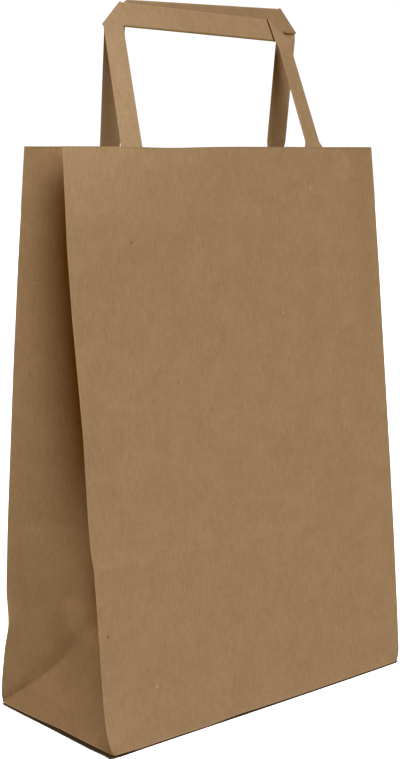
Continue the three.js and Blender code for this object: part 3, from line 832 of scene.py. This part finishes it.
class Nodes:
    """A short way to wire a node tree."""

    def __init__(self, tree):
        self.tree = tree

    def put(self, socket, value):
        if isinstance(value, bpy.types.NodeSocket):
            self.tree.links.new(value, socket)
        else:
            socket.default_value = value

    def add(self, kind, settings=None, **inputs):
        node = self.tree.nodes.new(kind)
        for key, value in (settings or {}).items():
            setattr(node, key, value)
        for key, value in inputs.items():
            self.put(node.inputs[key.replace("_", " ")], value)
        return node

    def noise(self, place, scale, detail, roughness):
        settings = {"Scale": scale, "Detail": detail, "Roughness": roughness}
        return self.add("ShaderNodeTexNoise", None, Vector=place, **settings).outputs["Fac"]

    def remap(self, value, low, high, to_low, to_high):
        node = self.add("ShaderNodeMapRange", {"interpolation_type": "SMOOTHSTEP"}, Value=value)
        for key, number in zip(("From Min", "From Max", "To Min", "To Max"), (low, high, to_low, to_high)):
            node.inputs[key].default_value = number
        return node.outputs["Result"]

    def math(self, operation, a, b):
        node = self.add("ShaderNodeMath", {"operation": operation})
        self.put(node.inputs[0], a)
        self.put(node.inputs[1], b)
        return node.outputs[0]

    def vector(self, operation, a, b):
        node = self.add("ShaderNodeVectorMath", {"operation": operation})
        self.put(node.inputs[0], a)
        self.put(node.inputs[1], b)
        return node

    def mix(self, factor, a, b, blend="MIX"):
        node = self.add("ShaderNodeMix", {"data_type": "RGBA", "blend_type": blend})
        self.put(node.inputs[0], factor)
        self.put(node.inputs[6], a)
        self.put(node.inputs[7], b)
        return node.outputs[2]


def grey(value):
    return (value, value, value, 1)


def specks(n, base, place, points, colour):
    """Small single spots of another colour on the front panel, each with its radius."""
    for x, h, radius in points:
        spot = panel_point(FRONT, np.array(x * MM), np.array(h * MM))
        away = n.vector("DISTANCE", place, tuple(spot)).outputs["Value"]
        base = n.mix(n.remap(away, 0.5 * radius * MM, 1.3 * radius * MM, 0.8, 0.0), base, (*colour, 1))
    return base


def kraft(name, colour, streak=(1, 1, 0.16), spotted=False):
    """Uncoated kraft paper: long fibres, fine grain, soft clouds, light and dark flecks, worn folds, and shade
    painted along a crease and the bars' lower edges.
    """
    material = bpy.data.materials.new(name)
    material.use_nodes = True
    tree = material.node_tree
    tree.nodes.clear()
    n = Nodes(tree)
    place = n.add("ShaderNodeTexCoord").outputs["Object"]
    stretched = n.add("ShaderNodeMapping", Vector=place, Scale=streak).outputs["Vector"]
    fibre = n.noise(stretched, scale=900, detail=3, roughness=0.6)
    grain = n.noise(place, scale=1500, detail=4, roughness=0.7)
    mottle = n.noise(place, scale=260, detail=2, roughness=0.6)
    cloud = n.noise(place, scale=70, detail=3, roughness=0.55)
    wobble = n.add("ShaderNodeTexNoise", None, Vector=place, Scale=700, Detail=1).outputs["Color"]
    bend = n.vector("MULTIPLY", wobble, (FLECK_WOBBLE, FLECK_WOBBLE, FLECK_WOBBLE)).outputs["Vector"]
    fleck_place = n.vector("ADD", place, bend).outputs["Vector"]
    light = n.add("ShaderNodeTexVoronoi", None, Vector=fleck_place, Scale=62).outputs["Distance"]
    moved = n.add("ShaderNodeMapping", Vector=fleck_place, Location=DARK_FLECK_SHIFT).outputs["Vector"]
    dark = n.add("ShaderNodeTexVoronoi", None, Vector=moved, Scale=58).outputs["Distance"]
    fibre_shade = n.remap(fibre, 0.25, 0.75, -FIBRE_TONE, FIBRE_TONE)
    shade = n.math("ADD", fibre_shade, n.remap(grain, 0.25, 0.75, -GRAIN_TONE, GRAIN_TONE))
    shade = n.math("ADD", shade, n.remap(mottle, 0.3, 0.7, -MOTTLE_TONE, MOTTLE_TONE))
    shade = n.math("ADD", shade, n.remap(cloud, 0.3, 0.7, -CLOUD_TONE, CLOUD_TONE))
    # the wear attribute carries real wear and painted shade
    worn_and_shaded = n.add("ShaderNodeAttribute", {"attribute_name": "wear_and_shade"}).outputs["Fac"]
    shade = n.math("ADD", shade, n.math("MULTIPLY", worn_and_shaded, WEAR_AND_SHADE_TONE))
    blue = n.math("ADD", n.math("MULTIPLY", shade, BLUE_GRAIN), 1.0)
    shade = n.math("ADD", shade, 1.0)
    tint = n.add("ShaderNodeCombineColor", None, Red=shade, Green=shade, Blue=blue).outputs["Color"]
    base = n.mix(1.0, (*colour, 1), tint, "MULTIPLY")
    pale = tuple(min(1, c * f) for c, f in zip(colour, PALE_FACTORS))
    deep = tuple(c * DEEP_FACTOR for c in colour)
    base = n.mix(n.remap(light, 0.018, 0.032, 0.55, 0.0), base, (*pale, 1))
    base = n.mix(n.remap(dark, 0.016, 0.030, 0.5, 0.0), base, (*deep, 1))
    if spotted:
        base = specks(n, base, place, DARK_SPECKS, deep)
        base = specks(n, base, place, PALE_SPECKS, pale)
    height = n.math("ADD", n.math("MULTIPLY", fibre, 0.6), grain)
    bump = n.add("ShaderNodeBump", None, Height=height, Strength=BUMP_STRENGTH, Distance=BUMP_DISTANCE)
    rough = n.remap(grain, 0.2, 0.8, 0.82, 0.95)
    normal = bump.outputs["Normal"]
    shader = n.add("ShaderNodeBsdfPrincipled", None, Base_Color=base, Roughness=rough, Normal=normal)
    shader.inputs["Specular IOR Level"].default_value = SPECULAR
    output = n.add("ShaderNodeOutputMaterial")
    tree.links.new(shader.outputs["BSDF"], output.inputs["Surface"])
    return material


def build_floor():
    """A plain pale floor."""
    mesh = bpy.data.meshes.new("floor")
    corners = [(-FLOOR_REACH, -FLOOR_REACH), (FLOOR_REACH, -FLOOR_REACH)]
    corners += [(FLOOR_REACH, FLOOR_REACH), (-FLOOR_REACH, FLOOR_REACH)]
    mesh.from_pydata([(x, y, 0) for x, y in corners], [], [(0, 1, 2, 3)])
    floor = bpy.data.objects.new("floor", mesh)
    bpy.context.scene.collection.objects.link(floor)
    material = bpy.data.materials.new("floor_white")
    material.use_nodes = True
    shader = material.node_tree.nodes["Principled BSDF"]
    shader.inputs["Base Color"].default_value = grey(FLOOR_GREY)
    shader.inputs["Roughness"].default_value = FLOOR_ROUGHNESS
    shader.inputs["Specular IOR Level"].default_value = 0.0
    # a faint painted glow, standing in for light thrown on the floor under the bag
    shader.inputs["Emission Color"].default_value = GAP_GLOW
    shader.inputs["Emission Strength"].default_value = 1.0
    mesh.materials.append(material)
    floor.visible_diffuse = False
    return floor


def build_world():
    """White to the eye, and a very dim sky as a light source."""
    world = bpy.data.worlds.new("studio")
    bpy.context.scene.world = world
    world.use_nodes = True
    tree = world.node_tree
    tree.nodes.clear()
    n = Nodes(tree)
    path = n.add("ShaderNodeLightPath").outputs["Is Camera Ray"]
    seen = n.math("MAXIMUM", SKY_LEVEL, n.math("MULTIPLY", path, SKY_SEEN))
    sky = n.add("ShaderNodeBackground", None, Color=grey(1), Strength=seen)
    output = n.add("ShaderNodeOutputWorld")
    tree.links.new(sky.outputs["Background"], output.inputs["Surface"])


def light_only(lamp, lit):
    """Lets a lamp light nothing but the given pieces."""
    group = bpy.data.collections.new(f"{lamp.name}_lit")
    for piece in lit:
        group.objects.link(piece)
    lamp.light_linking.receiver_collection = group


def soft_sun(name, elevation_deg, left_deg, width_deg, strength, colour, lit):
    """A broad soft light from far away that lights only the given pieces; left_deg turns it to the left."""
    data = bpy.data.lights.new(name, "SUN")
    data.energy = strength
    data.color = colour
    data.angle = math.radians(width_deg)
    lamp = bpy.data.objects.new(name, data)
    bpy.context.scene.collection.objects.link(lamp)
    up, left = math.radians(elevation_deg), math.radians(left_deg)
    toward = Vector((-math.sin(left) * math.cos(up), -math.cos(left) * math.cos(up), math.sin(up)))
    lamp.rotation_euler = (-toward).to_track_quat("-Z", "Y").to_euler()
    light_only(lamp, lit)


def soft_spot(name, place, aim, width_deg, power, size, colour, lit):
    """A narrow light with a fully soft edge that lights only the given pieces."""
    data = bpy.data.lights.new(name, "SPOT")
    data.energy = power
    data.color = colour
    data.spot_size = math.radians(width_deg)
    data.spot_blend = 1
    data.shadow_soft_size = size
    lamp = bpy.data.objects.new(name, data)
    bpy.context.scene.collection.objects.link(lamp)
    lamp.location = place
    lamp.rotation_euler = (Vector(aim) - Vector(place)).to_track_quat("-Z", "Y").to_euler()
    light_only(lamp, lit)


def build_lights(pieces, floor):
    """Soft light on the bag from the front, the left and behind, and an even light on the floor."""
    for name, elevation_deg, left_deg, strength, colour in BAG_SUNS:
        soft_sun(name, elevation_deg, left_deg, SUN_WIDTH_DEG, strength, colour, pieces)
    place, aim, width_deg = CORNER_LIGHT_PLACE, CORNER_LIGHT_AIM, CORNER_LIGHT_WIDTH_DEG
    power, size, colour = CORNER_LIGHT_POWER, CORNER_LIGHT_SIZE, CORNER_LIGHT_COLOUR
    soft_spot("corner_light", place, aim, width_deg, power, size, colour, pieces)
    soft_sun("floor_light", 90, 0, FLOOR_SUN_WIDTH_DEG, FLOOR_SUN_STRENGTH, WHITE, [floor])


def build_camera():
    data = bpy.data.cameras.new("camera")
    data.sensor_width = SENSOR_WIDTH
    data.lens = FOCAL_PIXELS * SENSOR_WIDTH / PICTURE_HEIGHT
    data.clip_start, data.clip_end = CAMERA_CLIP
    camera = bpy.data.objects.new("camera", data)
    bpy.context.scene.collection.objects.link(camera)
    camera.location = CAMERA_PLACE
    camera.rotation_euler = (math.radians(90 - CAMERA_PITCH_DEG), 0, -math.radians(CAMERA_YAW_DEG))
    bpy.context.scene.camera = camera


sheet_material = kraft("kraft_sheet", KRAFT_COLOUR, spotted=True)
tape_material = kraft("kraft_tape", TAPE_COLOUR)
patch_material = kraft("kraft_patch", KRAFT_COLOUR)
build_camera()
pieces = [build_body(sheet_material)]
for panel in (FRONT, BACK):
    pieces.append(build_handle(panel, tape_material))
    pieces.append(build_patch(panel, patch_material))
floor = build_floor()
build_world()
build_lights(pieces, floor)

scene = bpy.context.scene
scene.view_settings.view_transform = "Standard"
scene.view_settings.look = "None"
scene.view_settings.use_curve_mapping = True
scene.view_settings.curve_mapping.black_level = SHADOW_TONE
scene.view_settings.curve_mapping.update()
